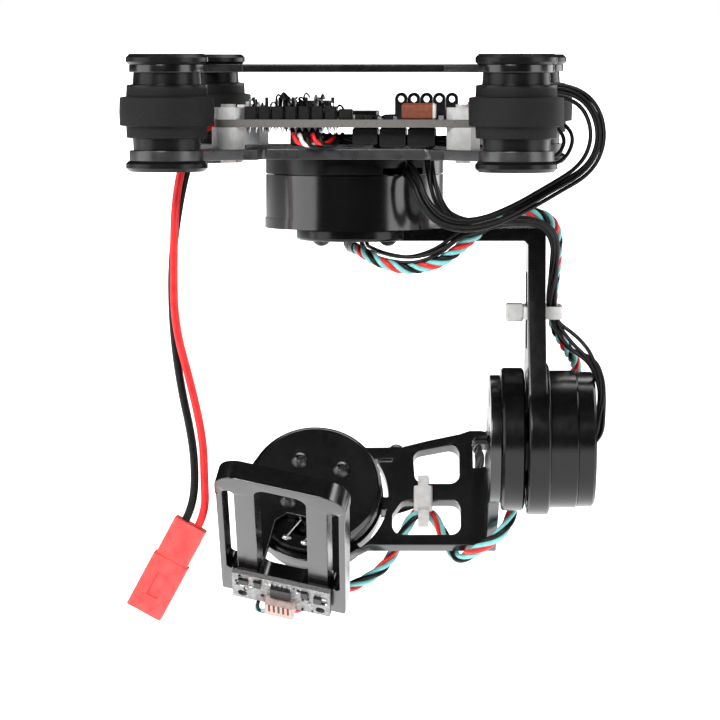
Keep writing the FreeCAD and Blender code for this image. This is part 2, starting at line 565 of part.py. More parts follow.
tray = tray.cut(window_cut)
for sx in (-1, 1):
    tray = tray.cut(slot(sx * 10.35 - 1.15, sx * 10.35 + 1.15, -20, 14, -TRAY_H1 - 1,
                         -TRAY_H0 + 1, 1.1))
SCREW_AT = 6.4
for angle in (47, 133, 227, 313):
    a = math.radians(angle)
    at = V(SCREW_AT * math.cos(a), DISC_D0 - 1, SCREW_AT * math.sin(a))
    tray = tray.cut(cyl(1.0, 5, at, Y))
put("camera_tray", tray, PITCH)

tray_screws = []
for angle in (47, 133, 227, 313):
    a = math.radians(angle)
    screw = dome_screw(1.8, 1.2, 0.95, DISC_D1 - DISC_D0, 0.8)
    screw.rotate(V(0, 0, 0), X, 90)
    screw.translate(V(SCREW_AT * math.cos(a), DISC_D0, SCREW_AT * math.sin(a)))
    tray_screws.append(screw)
put("tray_screws", group(tray_screws), PITCH)

IMU_D0, IMU_D1, IMU_H = 12.0, 22.8, 26.6
imu = box(-10, 10, IMU_D0, IMU_D1, -IMU_H - 1.0, -IMU_H)
for sx in (-1, 1):
    imu = imu.cut(slot(sx * 8 - 0.9, sx * 8 + 0.9, IMU_D1 - 3.4, IMU_D1 - 1.0, -IMU_H - 1.0,
                       -IMU_H, 0.85))
put("imu_board", imu, PITCH)
put("imu_foam", slot(-9.4, 9.4, IMU_D0 + 0.6, IMU_D1 - 4.2, -IMU_H, -TRAY_H1, 0.8)
    .cut(box(-5.2, 5.2, 0, 16.2, -30, -20)), PITCH)
low_face = -IMU_H - 1.0
imu_chips = [box(-2.0, 2.0, 14.0, 18.0, low_face - 0.9, low_face),
             box(-8.6, -6.6, 13.6, 15.4, low_face - 0.6, low_face),
             box(-5.4, -4.0, 13.4, 15.8, low_face - 0.6, low_face),
             box(4.2, 5.6, 13.4, 15.8, low_face - 0.6, low_face),
             box(6.8, 8.4, 14.4, 16.8, low_face - 0.7, low_face)]
put("imu_chips", group(imu_chips), PITCH)
shell = box(-2.9, 2.9, 18.7, 23.6, low_face - 2.1, low_face)
shell = shell.cut(box(-2.4, 2.4, 19.4, 23.6, low_face - 1.6, low_face - 0.5))
put("imu_connector", shell, PITCH)

# ---------------------------------------------------------------- cable ties
def tie(x0, x1, y0, y1, z0, band, thick):
    """A flat band round a box-shaped bundle, upright in Z by `band`."""
    outer = slot(x0 - thick, x1 + thick, y0 - thick, y1 + thick, z0, z0 + band, 0.8)
    return outer.cut(slot(x0, x1, y0, y1, z0 - 1, z0 + band + 1, 0.5))


# the strap runs through the web's slot and round its rear edge
arm_tie = tie(WEB_X0 - 0.1, 40.4, -2.5, 7.9, -50.1, 2.5, 0.6)
tie_head = rounded(box(29.8, 33.2, -2.0, 2.0, -50.6, -47.0), 0.5, lambda e: True)
arm_tie = fuse([arm_tie, tie_head])
put("arm_cable_tie", arm_tie, YAW)

# ---------------------------------------------------------------- leads and cables
red = [(-25.25, -8.6, -11.25), (-29.4, -9.4, -12.2), (-32.3, -13.2, -18.0),
       (-33.7, -15.6, -26.5), (-34.0, -15.8, -38.0), (-33.9, -15.6, -50.5),
       (-30.6, -15.3, -62.5), (-28.4, -15.1, -72.8), (-28.2, -15.0, -81.0),
       (-28.0, -15.0, -86.9), (-29.5, -15.0, -89.9)]
black = [(-25.25, -6.4, -11.25), (-29.0, -7.0, -12.4), (-31.4, -10.5, -18.0),
         (-33.2, -13.4, -27.0), (-34.7, -13.4, -38.5), (-34.5, -13.6, -50.5),
         (-33.0, -14.3, -62.0), (-30.6, -14.8, -72.6), (-30.0, -15.0, -79.8),
         (-30.5, -15.0, -85.8), (-31.9, -15.0, -88.6)]
put("power_lead_red", cord(red, LEAD_R, "power_lead_red"))
put("power_lead_black", cord(black, LEAD_R, "power_lead_black"))

# plug: drawn upright with its lead end at z = 0, then tilted and placed
PLUG_LONG, PLUG_WIDE, PLUG_THICK, PLUG_TILT = 19.5, 7.4, 4.8, 28.4
plug = box(-PLUG_WIDE / 2, PLUG_WIDE / 2, -PLUG_THICK / 2, PLUG_THICK / 2, -PLUG_LONG, -8.0)
plug = bevel(plug, 0.5, vertical)
collar = bevel(box(-3.35, 3.35, -2.15, 2.15, -8.0, 0), 0.5, vertical)
plug = fuse([plug, collar])
plug = plug.cut(box(-2.7, 2.7, -1.5, 1.5, -PLUG_LONG, -PLUG_LONG + 6.5))
plug = plug.cut(box(-1.2, 1.2, -PLUG_THICK / 2, -PLUG_THICK / 2 + 0.5, -16, -11))
plug.rotate(V(0, 0, 0), Y, PLUG_TILT)
plug.translate(V(-30.8, -15.0, -89.35))
put("power_plug", plug)

ribbon = [(10.9, -14.2, -19.9), (13.0, -18.2, -21.6), (14.6, -19.6, -26.4),
          (18.4, -20.4, -30.4), (24.8, -20.0, -30.9), (32.2, -18.6, -28.0),
          (39.6, -16.6, -23.9), (45.6, -15.0, -20.4), (48.3, -13.8, -15.6),
          (47.9, -12.6, -10.2), (44.6, -11.6, -5.8), (38.8, -10.6, -4.4),
          (31.8, -8.8, -7.2), (25.8, -7.7, -11.0)]
put("yaw_ribbon", cord(ribbon, RIBBON_R, "yaw_ribbon"))

loom = [(14.1, -14.6, -14.4), (14.2, -14.7, -18.2), (14.8, -15.8, -22.0),
        (15.9, -16.6, -26.2), (18.0, -16.2, -29.6), (22.6, -14.4, -31.0),
        (29.4, -11.6, -30.6), (36.0, -9.0, -30.4), (39.4, -6.6, -33.6), (39.1, -3.4, -40.8),
        (38.5, -0.6, -49.6), (42.4, -2.6, -54.4), (46.7, -4.6, -57.6),
        (48.9, -4.9, -63.2), (48.3, -2.6, -69.4), (48.3, -0.4, -72.6), (47.3, 0.0, -74.0)]
put("arm_lead_loom", cord(loom, LOOM_R, "arm_lead_loom"), YAW)

imu_upper = [(-1.0, 21.8, -14.4), (-1.2, 22.4, -22.0), (-1.6, 20.9, -30.5),
             (-1.2, 14.6, -36.6), (-0.4, 5.0, -36.2), (0.6, -4.4, -36.2),
             (4.8, -8.6, -38.6), (10.6, -9.6, -40.0), (16.8, -9.8, -38.6),
             (21.8, -9.4, -34.6), (26.6, -8.2, -30.4), (32.0, -5.4, -29.0),
             (36.8, -3.2, -29.1), (40.0, -1.8, -32.2), (39.7, 0.6, -39.8),
             (38.65, 2.3, -49.8), (41.6, 3.4, -54.2), (45.0, 5.8, -57.2),
             (44.8, 10.6, -60.6), (43.8, 15.6, -66.4), (42.4, 17.2, -74.6),
             (39.6, 15.8, -81.6), (36.0, 13.6, -86.2), (33.0, 12.2, -88.0)]
put("imu_cable_upper", cord(imu_upper, IMU_CABLE_R, "imu_cable_upper"), YAW)

# from here on the points are in the roll stage: X', D behind the roll axis, W up
pitch_leads = [(26.5, 0.0, 0.0), (24.6, 0.9, 0.4), (24.1, 5.0, 2.0), (24.4, 12.0, 4.6),
               (25.0, 20.0, 7.6), (25.6, 27.4, 9.8), (25.4, 32.6, 8.8), (23.4, 35.4, 5.8),
               (18.6, 36.0, 4.6), (12.8, 35.9, 4.0), (8.2, 35.7, 1.8), (4.6, 35.5, 1.0)]
put("pitch_lead_loom", cord(pitch_leads, 0.9, "pitch_lead_loom"), ROLL)

imu_lower = [(31.9, 17.6, -6.2), (31.2, 18.0, -9.0), (29.2, 18.8, -11.9),
             (26.6, 21.8, -12.4), (23.6, 26.4, -12.4), (21.2, 31.4, -11.4),
             (19.8, 33.4, -8.6), (17.9, 32.4, -4.8), (16.0, 29.9, -2.0), (13.9, 28.8, -1.4),
             (11.9, 29.9, -2.0), (10.0, 32.4, -4.6), (8.0, 34.4, -8.4), (5.4, 34.6, -12.2),
             (1.4, 33.4, -15.5), (-3.6, 31.8, -18.6), (-9.0, 30.4, -21.6),
             (-13.2, 28.0, -24.3), (-14.9, 24.4, -26.2)]
put("imu_cable_lower", cord(imu_lower, IMU_CABLE_R, "imu_cable_lower"), ROLL)

TIE_X0, TIE_X1 = 12.9, 15.1
band = box(TIE_X0, TIE_X1, PLATE_D0 - 0.8, PLATE_D1 + 1.8, -3.8, WEB_W1 + 1.4)
band = band.cut(box(TIE_X0, TIE_X1, PLATE_D0 - 0.03, PLATE_D1 + 1.1, -3.1, WEB_W1 + 0.8))
tie_head = slot(12.0, 15.8, 24.4, PLATE_D0 - 0.1, -2.7, 2.0, 0.6)
tie_head = tie_head.cut(box(TIE_X0 + 0.1, TIE_X1 - 0.1, 25.0, 25.9, -3, 3))
tail = box(TIE_X0 + 0.2, TIE_X1 - 0.2, 25.1, 25.8, -2.7, 4.7)
plate_tie = fuse([band, tie_head, tail])
put("plate_cable_tie", plate_tie, ROLL)

os.makedirs("parts", exist_ok=True)
for name, shape in NODES.items():
    if not shape.isValid():
        print("NOT VALID", name)
    shape.exportStep("parts/%s.step" % name)
print(len(NODES), "nodes")
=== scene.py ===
import bpy
import bmesh
import json
import math
import random
from mathutils import Matrix, Vector, noise

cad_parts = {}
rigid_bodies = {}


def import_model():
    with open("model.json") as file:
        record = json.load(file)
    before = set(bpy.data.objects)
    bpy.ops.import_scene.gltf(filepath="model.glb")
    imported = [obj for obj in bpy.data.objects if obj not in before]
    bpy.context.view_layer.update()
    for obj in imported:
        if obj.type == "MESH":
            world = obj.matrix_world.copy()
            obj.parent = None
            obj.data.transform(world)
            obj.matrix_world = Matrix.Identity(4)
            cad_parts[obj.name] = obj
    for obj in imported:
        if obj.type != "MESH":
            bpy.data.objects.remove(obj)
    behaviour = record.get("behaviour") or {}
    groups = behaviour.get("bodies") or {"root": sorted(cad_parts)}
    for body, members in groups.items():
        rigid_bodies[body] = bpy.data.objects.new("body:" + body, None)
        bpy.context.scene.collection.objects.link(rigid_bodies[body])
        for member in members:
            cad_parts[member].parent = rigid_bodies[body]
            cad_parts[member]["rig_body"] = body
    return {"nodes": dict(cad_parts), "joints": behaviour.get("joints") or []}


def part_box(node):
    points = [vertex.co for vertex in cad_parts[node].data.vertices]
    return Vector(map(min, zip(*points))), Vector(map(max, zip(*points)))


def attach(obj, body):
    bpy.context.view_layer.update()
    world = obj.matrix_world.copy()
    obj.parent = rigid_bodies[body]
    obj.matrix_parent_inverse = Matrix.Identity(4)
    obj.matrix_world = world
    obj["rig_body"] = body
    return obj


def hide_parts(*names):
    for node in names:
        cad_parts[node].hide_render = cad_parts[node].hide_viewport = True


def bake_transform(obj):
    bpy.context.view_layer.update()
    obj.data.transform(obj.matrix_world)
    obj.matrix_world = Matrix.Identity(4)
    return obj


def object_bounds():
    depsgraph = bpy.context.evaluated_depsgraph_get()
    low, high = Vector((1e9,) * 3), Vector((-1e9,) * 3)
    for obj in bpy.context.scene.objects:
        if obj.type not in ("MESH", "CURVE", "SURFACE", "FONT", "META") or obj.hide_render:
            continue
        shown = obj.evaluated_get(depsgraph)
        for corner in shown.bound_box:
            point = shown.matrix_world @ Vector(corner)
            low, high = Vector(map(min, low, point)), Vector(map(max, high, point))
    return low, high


# A three-axis camera gimbal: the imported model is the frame, and this script adds its
# looks, its wiring and its fine parts. Metres, in the model's own frame.
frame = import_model()
cad_low, cad_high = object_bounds()
NODES = frame["nodes"]
JOINTS = {j["name"]: j for j in frame["joints"]}
MM = 0.001
random.seed(7)
noise.seed_set(7)       # without this, noise_vector starts from the clock


def mm(*xyz):
    return Vector(xyz) * MM


# ------------------------------------------------------------------ placements at rest
YAW_REST, ROLL_REST, PITCH_REST = (math.radians(d) for d in (4.43, -33.0, 13.8))
ROLL_Z = JOINTS["roll"]["pos_m"][2]
PITCH_X, PITCH_W = -8.1 * MM, 1.0 * MM
YAW = Matrix.Rotation(YAW_REST, 4, "Z")
ROLL = YAW @ Matrix.Translation((0, 0, ROLL_Z)) @ Matrix.Rotation(ROLL_REST, 4, "X")
PITCH = ROLL @ Matrix.Translation((PITCH_X, 0, PITCH_W)) @ Matrix.Rotation(PITCH_REST, 4, "Y")
WORLD = Matrix.Identity(4)

# ------------------------------------------------------------------ camera
CAM_TURN = math.radians(4.43)       # round the object, and as much above the horizon
CAM_AT = Vector((0.0599, -0.7599, 0.00075))
CAM_LENS = 193.4
camera = bpy.data.objects.new("camera", bpy.data.cameras.new("camera"))
bpy.context.scene.collection.objects.link(camera)
camera.data.lens = CAM_LENS
camera.data.sensor_width = 36
camera.data.clip_start = 0.01
look = Vector((-math.sin(CAM_TURN) * math.cos(CAM_TURN),
               math.cos(CAM_TURN) * math.cos(CAM_TURN), -math.sin(CAM_TURN)))
camera.location = CAM_AT
camera.rotation_mode = "QUATERNION"
camera.rotation_quaternion = look.to_track_quat("-Z", "Y")
bpy.context.scene.camera = camera

# ------------------------------------------------------------------ routes of the leads
RED = [(-.02525, -.0086, -.01125), (-.0294, -.0094, -.0122), (-.0323, -.0132, -.018),
       (-.0337, -.0156, -.0265), (-.034, -.0158, -.038), (-.0339, -.0156, -.0505),
       (-.0306, -.0153, -.0625), (-.0284, -.0151, -.0728), (-.0282, -.015, -.081),
       (-.028, -.015, -.0869), (-.0295, -.015, -.0899)]
BLACK = [(-.02525, -.0064, -.01125), (-.029, -.007, -.0124), (-.0314, -.0105, -.018),
         (-.0332, -.0134, -.027), (-.0347, -.0134, -.0385), (-.0345, -.0136, -.0505),
         (-.033, -.0143, -.062), (-.0306, -.0148, -.0726), (-.03, -.015, -.0798),
         (-.0305, -.015, -.0858), (-.0319, -.015, -.0886)]
LEAD_WIDE = 1.6 * MM
RIBBON_LENGTH = 0.082
RIBBON = [(.0109, -.0142, -.0199), (.013, -.0182, -.0216), (.0146, -.0196, -.0264),
          (.0184, -.0204, -.0304), (.0248, -.02, -.0309), (.0322, -.0186, -.028),
          (.0396, -.0166, -.0239), (.0456, -.015, -.0204), (.0483, -.0138, -.0156),
          (.0479, -.0126, -.0102), (.0446, -.0116, -.0058), (.0388, -.0106, -.0044),
          (.0318, -.0088, -.0072), (.0258, -.0077, -.011)]
# in the yaw stage
LOOM = [(.0141, -.0146, -.0144), (.0142, -.0147, -.0182), (.0148, -.0158, -.022),
        (.0159, -.0166, -.0262), (.018, -.0162, -.0296), (.0226, -.0144, -.031),
        (.0294, -.0116, -.0306), (.036, -.009, -.0304), (.0394, -.0066, -.0336),
        (.0391, -.0034, -.0408), (.0385, -.0006, -.0496), (.0424, -.0026, -.0544),
        (.0467, -.0046, -.0576), (.0489, -.0049, -.0632), (.0483, -.0026, -.0694),
        (.0483, -.0004, -.0726), (.0473, 0, -.074)]
SENSOR_UPPER = [(-.001, .0218, -.0144), (-.0012, .0224, -.022), (-.0016, .0209, -.0305),
                (-.0012, .0146, -.0366), (-.0004, .005, -.0362), (.0006, -.0044, -.0362),
                (.0048, -.0086, -.0386), (.0106, -.0096, -.04), (.0168, -.0098, -.0386),
                (.0218, -.0094, -.0346), (.0266, -.0082, -.0304), (.032, -.0054, -.029),
                (.0368, -.0032, -.0291), (.04, -.0018, -.0322), (.0397, .0006, -.0398),
                (.03865, .0023, -.0498), (.0416, .0036, -.0556), (.0444, .0075, -.0594),
                (.0441, .0122, -.0632), (.0436, .0156, -.0674), (.0424, .0172, -.0746),
                (.0396, .0158, -.0816), (.036, .0136, -.0862), (.033, .0122, -.088)]
# not in the CAD: three of the arm's leads hang in the same loop as the sensor cable
LOOP_LEADS = [(-.0002, .0188, -.0262), (.0006, .0170, -.0322), (.0018, .0120, -.0362),
              (.0024, .0045, -.0366), (.0032, -.0042, -.0366), (.0064, -.0086, -.0374),
              (.0112, -.0100, -.0379), (.0160, -.0108, -.0366), (.0196, -.0114, -.0338),
              (.0232, -.0122, -.0316), (.0276, -.0120, -.0308)]
# in the roll stage
PITCH_LOOM = [(.0265, 0, 0), (.0246, .0009, .0004), (.0241, .005, .002), (.0244, .012, .0046),
              (.025, .02, .0076), (.0256, .0274, .0098), (.0254, .0326, .0088),
              (.0234, .0354, .0058), (.0186, .036, .0046), (.0128, .0359, .004),
              (.0082, .0357, .0018), (.0046, .0355, .001)]
SENSOR_LOWER = [(.0319, .0176, -.0062), (.0312, .018, -.009), (.0292, .0188, -.0119),
                (.0266, .0218, -.0124), (.0236, .0264, -.0124), (.0212, .0314, -.0114),
                (.0198, .0334, -.0086), (.0179, .0324, -.0048), (.016, .0299, -.002),
                (.0139, .0288, -.0014), (.0119, .0299, -.002), (.01, .0324, -.0046),
                (.008, .0344, -.0084), (.0054, .0346, -.0122), (.0014, .0334, -.0155),
                (-.0036, .0318, -.0186), (-.009, .0304, -.0216), (-.0132, .028, -.0243),
                (-.0149, .0244, -.0262)]
# not in the CAD: two short leads that loop out beside the front right damper
SIDE_LEADS = [(.0262, .0045, -.0128), (.0325, .0035, -.0108), (.0392, .0022, -.0112),
              (.0424, .0012, -.0142), (.0408, .0002, -.0180), (.0370, -.0006, -.0192),
              (.0318, -.0010, -.0182), (.0262, -.0014, -.0162), (.0215, -.0020, -.0158)]


# ------------------------------------------------------------------ materials
def nodes_of(name):
    m = bpy.data.materials.new(name)
    m.use_nodes = True
    tree = m.node_tree
    return m, tree, tree.nodes["Principled BSDF"]


def grain(tree, scale, stretch=(1, 1, 1), detail=4.0):
    """Noise in the piece's own coordinates: scale is in features per metre."""
    where = tree.nodes.new("ShaderNodeTexCoord")
    mapping = tree.nodes.new("ShaderNodeMapping")
    mapping.inputs["Scale"].default_value = stretch
    tree.links.new(where.outputs["Object"], mapping.inputs["Vector"])
    tex = tree.nodes.new("ShaderNodeTexNoise")
    tex.inputs["Scale"].default_value = scale
    tex.inputs["Detail"].default_value = detail
    tree.links.new(mapping.outputs["Vector"], tex.inputs["Vector"])
    return tex.outputs["Fac"]


def spread(tree, value, low, high, a=0.3, b=0.7):
    """Maps a value from a..b to low..high."""
    node = tree.nodes.new("ShaderNodeMapRange")
    for key, number in (("From Min", a), ("From Max", b), ("To Min", low), ("To Max", high)):
        node.inputs[key].default_value = number
    tree.links.new(value, node.inputs["Value"])
    return node.outputs["Result"]


def tint(tree, value, dark, light):
    node = tree.nodes.new("ShaderNodeMix")
    node.data_type = "RGBA"
    for spot, colour in ((6, dark), (7, light)):
        if isinstance(colour, tuple):
            node.inputs[spot].default_value = (*colour, 1)
        else:
            tree.links.new(colour, node.inputs[spot])
    tree.links.new(value, node.inputs[0])
    return node.outputs[2]


def bumped(tree, shader, height, strength, depth):
    node = tree.nodes.new("ShaderNodeBump")
    node.inputs["Strength"].default_value = strength
    node.inputs["Distance"].default_value = depth
    tree.links.new(height, node.inputs["Height"])
    tree.links.new(node.outputs["Normal"], shader.inputs["Normal"])


def finish_of(name, dark, light, rough, metallic=0.0, scale=900.0, stretch=(1, 1, 1),
              bump=0.15, depth=0.00002, bump_scale=5000.0, **sockets):
    """A surface with a varied colour, a varied gloss and a fine relief."""
    m, tree, shader = nodes_of(name)
    shader.inputs["Metallic"].default_value = metallic
    for key, value in sockets.items():
        shader.inputs[key.replace("_", " ")].default_value = value
    patch = grain(tree, scale, stretch)
    tree.links.new(tint(tree, spread(tree, patch, 0, 1), dark, light), shader.inputs["Base Color"])
    tree.links.new(spread(tree, grain(tree, scale * 2.3, stretch), rough[0], rough[1]),
                   shader.inputs["Roughness"])
    bumped(tree, shader, grain(tree, bump_scale, stretch), bump, depth)
    return m


anodised = finish_of("black_anodised", (.0016, .0016, .0019), (.0034, .0034, .0037), (.20, .27),
                     scale=260, bump=.10, depth=.000006, bump_scale=9000,
                     Specular_IOR_Level=.34)
polished = finish_of("black_polished", (.0018, .0018, .0021), (.0038, .0038, .0042), (.18, .24),
                     scale=260, bump=.10, depth=.000006, bump_scale=9000,
                     Specular_IOR_Level=.8)
satin = finish_of("black_satin", (.010, .010, .011), (.022, .022, .024), (.26, .36),
                  scale=260, bump=.10, depth=.000006, bump_scale=9000,
                  Specular_IOR_Level=.8)
turned = finish_of("black_turned", (.0014, .0014, .0016), (.0028, .0028, .0030), (.14, .19),
                   scale=160, stretch=(1, 1, 34), bump=.12, depth=.00001, bump_scale=700,
                   Specular_IOR_Level=.85)
black_screw = finish_of("black_oxide", (.010, .010, .011), (.024, .024, .026), (.22, .34),
                        metallic=.3, scale=1500, bump=.2, depth=.00002)
steel = finish_of("steel", (.42, .42, .43), (.62, .62, .63), (.22, .34), metallic=1.0,
                  scale=1200, bump=.2, depth=.00001)
lamination = finish_of("stacked_steel", (.035, .035, .036), (.11, .11, .11), (.34, .5),
                       metallic=1.0, scale=500, stretch=(1, 1, 12), bump=.5, depth=.00003)
dark_chrome = finish_of("screw_black_chrome", (.05, .05, .052), (.10, .10, .105), (.30, .42),
                        metallic=1.0, scale=1500, bump=.15, depth=.00001)
magnet = finish_of("nickel_plate", (.14, .14, .145), (.24, .235, .23), (.24, .34), metallic=1.0,
                   scale=800)
contact = finish_of("copper_contact", (.55, .26, .20), (.74, .40, .32), (.26, .40), metallic=.7,
                    scale=2000)
tin = finish_of("solder", (.52, .53, .55), (.74, .75, .77), (.2, .38), metallic=1.0,
                scale=2600, bump=.4, depth=.00004, bump_scale=2600)
plastic = finish_of("black_plastic", (.0030, .0030, .0034), (.007, .007, .0075), (.30, .42),
                    scale=1400, bump=.25, depth=.00002, bump_scale=7000, Specular_IOR_Level=.26)
nylon = finish_of("nylon", (.46, .46, .45), (.58, .58, .57), (.28, .42), scale=700,
                  bump=.15, depth=.00002, Subsurface_Weight=.35, Subsurface_Scale=.0012)
ivory = finish_of("connector_nylon", (.36, .285, .26), (.48, .39, .36), (.34, .5), scale=1300,
                  bump=.2, depth=.00002, Subsurface_Weight=.2, Subsurface_Scale=.0008)
foam = finish_of("foam_tape", (.008, .008, .008), (.024, .024, .024), (.8, .95), scale=5000,
                 bump=.9, depth=.0001, bump_scale=5200)
red_nylon = finish_of("red_nylon", (.80, .040, .040), (.95, .085, .075), (.26, .40), scale=420,
                      bump=.12, depth=.00003, bump_scale=1800, Subsurface_Weight=.15,
                      Subsurface_Scale=.0015)
sleeve = {}
for tone, dark, light in (("red", (.62, .008, .010), (.80, .022, .022)),
                          ("teal", (.16, .48, .47), (.26, .62, .60)),
                          ("black", (.0024, .0024, .0027), (.0055, .0055, .0058)),
                          ("white", (.72, .71, .69), (.86, .85, .83))):
    gloss = .2 if tone == "black" else .4
    sleeve[tone] = finish_of("sleeve_" + tone, dark, light, (.30, .44), scale=500, bump=.15,
                             depth=.00001, bump_scale=6000, Specular_IOR_Level=gloss)


def along_z(tree, low, high):
    """0 at height low and 1 at height high, in the piece's own coordinates."""
    where = tree.nodes.new("ShaderNodeTexCoord")
    split = tree.nodes.new("ShaderNodeSeparateXYZ")
    tree.links.new(where.outputs["Object"], split.inputs[0])
    return spread(tree, split.outputs["Z"], 0, 1, low, high)


def rubber_finish():
    """Matte moulded rubber, worn glossy on the collars that sit in the plates."""
    m, tree, shader = nodes_of("damper_rubber")
    low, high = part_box("damper_front_left")
    top_collar = along_z(tree, high.z - 6.6 * MM, high.z - 6.1 * MM)
    low_collar = along_z(tree, low.z + 6.6 * MM, low.z + 6.1 * MM)
    both = tree.nodes.new("ShaderNodeMath")
    both.operation = "MAXIMUM"
    tree.links.new(top_collar, both.inputs[0])
    tree.links.new(low_collar, both.inputs[1])
    dust = grain(tree, 2600)
    shader.inputs["Specular IOR Level"].default_value = .22
    matte = tint(tree, spread(tree, dust, 0, 1), (.0032, .0032, .0035), (.0066, .0066, .0070))
    tree.links.new(tint(tree, both.outputs[0], matte, (.006, .006, .0064)),
                   shader.inputs["Base Color"])
    tree.links.new(spread(tree, both.outputs[0], .66, .26, 0, 1), shader.inputs["Roughness"])
    bumped(tree, shader, grain(tree, 7000), .35, .00004)
    return m


def laminate_finish(name, mask_dark, mask_light, edge_dark, edge_light, flecks, speckled=False):
    """A circuit board: solder mask with tracks on its faces, cut laminate on its edges."""
    m, tree, shader = nodes_of(name)
    where = tree.nodes.new("ShaderNodeTexCoord")
    split = tree.nodes.new("ShaderNodeSeparateXYZ")
    tree.links.new(where.outputs["Normal"], split.inputs[0])
    flat = tree.nodes.new("ShaderNodeMath")
    flat.operation = "ABSOLUTE"
    tree.links.new(split.outputs["Z"], flat.inputs[0])
    face = spread(tree, flat.outputs[0], 0, 1, .5, .7)
    tracks = tree.nodes.new("ShaderNodeTexBrick")
    tracks.inputs["Scale"].default_value = flecks
    tracks.inputs["Color1"].default_value = (*mask_dark, 1)
    tracks.inputs["Color2"].default_value = (*mask_dark, 1)
    tracks.inputs["Mortar"].default_value = (*mask_light, 1)
    tracks.inputs["Mortar Size"].default_value = .06
    tree.links.new(where.outputs["Object"], tracks.inputs["Vector"])
    layers = grain(tree, 1400, (1, 1, 9))
    edge = tint(tree, spread(tree, layers, 0, 1), edge_dark, edge_light)
    pattern = tracks.outputs["Color"]
    if speckled:
        marks = spread(tree, grain(tree, flecks * 2.4), 0, 1, .47, .54)
        pattern = tint(tree, marks, pattern, mask_light)
    tree.links.new(tint(tree, face, edge, pattern), shader.inputs["Base Color"])
    tree.links.new(spread(tree, face, .62, .34, 0, 1), shader.inputs["Roughness"])
    bumped(tree, shader, layers, .3, .00004)
    return m


def capacitor_finish():
    """A reddish-brown moulded case with a pale printed end."""
    m, tree, shader = nodes_of("capacitor_case")
    low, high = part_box("board_capacitor")
    where = tree.nodes.new("ShaderNodeTexCoord")
    split = tree.nodes.new("ShaderNodeSeparateXYZ")
    tree.links.new(where.outputs["Object"], split.inputs[0])
    end = spread(tree, split.outputs["X"], 0, 1, high.x - .62 * MM, high.x - .5 * MM)
    case = tint(tree, spread(tree, grain(tree, 1500), 0, 1), (.20, .050, .024), (.31, .085, .042))
    tree.links.new(tint(tree, end, case, (.74, .72, .68)), shader.inputs["Base Color"])
    tree.links.new(spread(tree, grain(tree, 2600), .28, .4), shader.inputs["Roughness"])
    bumped(tree, shader, grain(tree, 4200), .2, .00003)
    return m


def winding_finish():
    """Enamelled wire, wound in close turns, with painted shade: its colour goes dark in the
    grooves between the turns.
    """
    m, tree, shader = nodes_of("enamelled_copper")
    shader.inputs["Metallic"].default_value = .85
    where = tree.nodes.new("ShaderNodeTexCoord")
    turns_and_groove_shade = tree.nodes.new("ShaderNodeTexWave")
    turns_and_groove_shade.bands_direction = "DIAGONAL"
    turns_and_groove_shade.inputs["Scale"].default_value = 900
    turns_and_groove_shade.inputs["Distortion"].default_value = .6
    tree.links.new(where.outputs["Object"], turns_and_groove_shade.inputs["Vector"])
    # painted shade: the copper colour darkens to near black where the turns dip into their grooves
    tree.links.new(tint(tree, turns_and_groove_shade.outputs["Fac"], (.24, .075, .022), (.72, .32, .13)),
                   shader.inputs["Base Color"])
    tree.links.new(spread(tree, grain(tree, 1600), .2, .36), shader.inputs["Roughness"])
    bumped(tree, shader, turns_and_groove_shade.outputs["Fac"], .8, .0001)
    return m


rubber = rubber_finish()
board_look = laminate_finish("circuit_board", (.012, .016, .018), (.05, .06, .06),
                             (.075, .070, .064), (.150, .141, .129), 260)
sensor_look = laminate_finish("sensor_board", (.014, .014, .015), (.27, .27, .27),
                              (.04, .04, .04), (.09, .09, .085), 700, True)
capacitor = capacitor_finish()
copper = winding_finish()

LOOKS = {
    anodised: ("yaw_base", "roll_end_cap", "pitch_end_cap", "roll_housing", "pitch_housing",
               "pitch_rotor", "roll_rotor"),
    turned: ("yaw_bell",),
    rubber: ("damper_front_left", "damper_front_right", "damper_rear_left", "damper_rear_right"),
    board_look: ("controller_board",),
    sensor_look: ("imu_board",),
    nylon: ("board_standoffs", "board_nuts", "board_studs", "arm_cable_tie", "plate_cable_tie"),
    plastic: ("header_front", "header_right", "board_plugs", "board_parts", "imu_chips"),
    capacitor: ("board_capacitor",),
    steel: ("yaw_bearings", "yaw_shaft", "roll_bearings", "roll_shaft", "pitch_bearings",
            "pitch_shaft", "yaw_base_screws"),
    lamination: ("yaw_core", "roll_core", "pitch_core"),
    black_screw: ("yaw_arm_screws", "roll_arm_screws", "pinch_screw"),
    dark_chrome: ("tray_screws",),
    copper: ("yaw_windings", "roll_windings", "pitch_windings"),
    magnet: ("yaw_magnets", "roll_magnets", "pitch_magnets"),
    foam: ("imu_foam",),
    ivory: ("imu_connector",),
    red_nylon: ("power_plug",),
}


def paint(obj, look):
    obj.data.materials.clear()
    obj.data.materials.append(look)


for look_used, names in LOOKS.items():
    for node_name in names:
        paint(NODES[node_name], look_used)


# ------------------------------------------------------------------ making pieces
def new_object(name, data):
    obj = bpy.data.objects.new(name, data)
    bpy.context.scene.collection.objects.link(obj)
    return obj


def mesh_piece(name, bm, body, looks, sharp=32):
    mesh = bpy.data.meshes.new(name)
    bm.to_mesh(mesh)
    bm.free()
    for one in looks:
        mesh.materials.append(one)
    mesh.polygons.foreach_set("use_smooth", [True] * len(mesh.polygons))
    mesh.set_sharp_from_angle(angle=math.radians(sharp))
    obj = new_object(name, mesh)
    if body:
        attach(obj, body)
    return obj


def placed(points, place=WORLD):
    return [place @ Vector(p) for p in points]


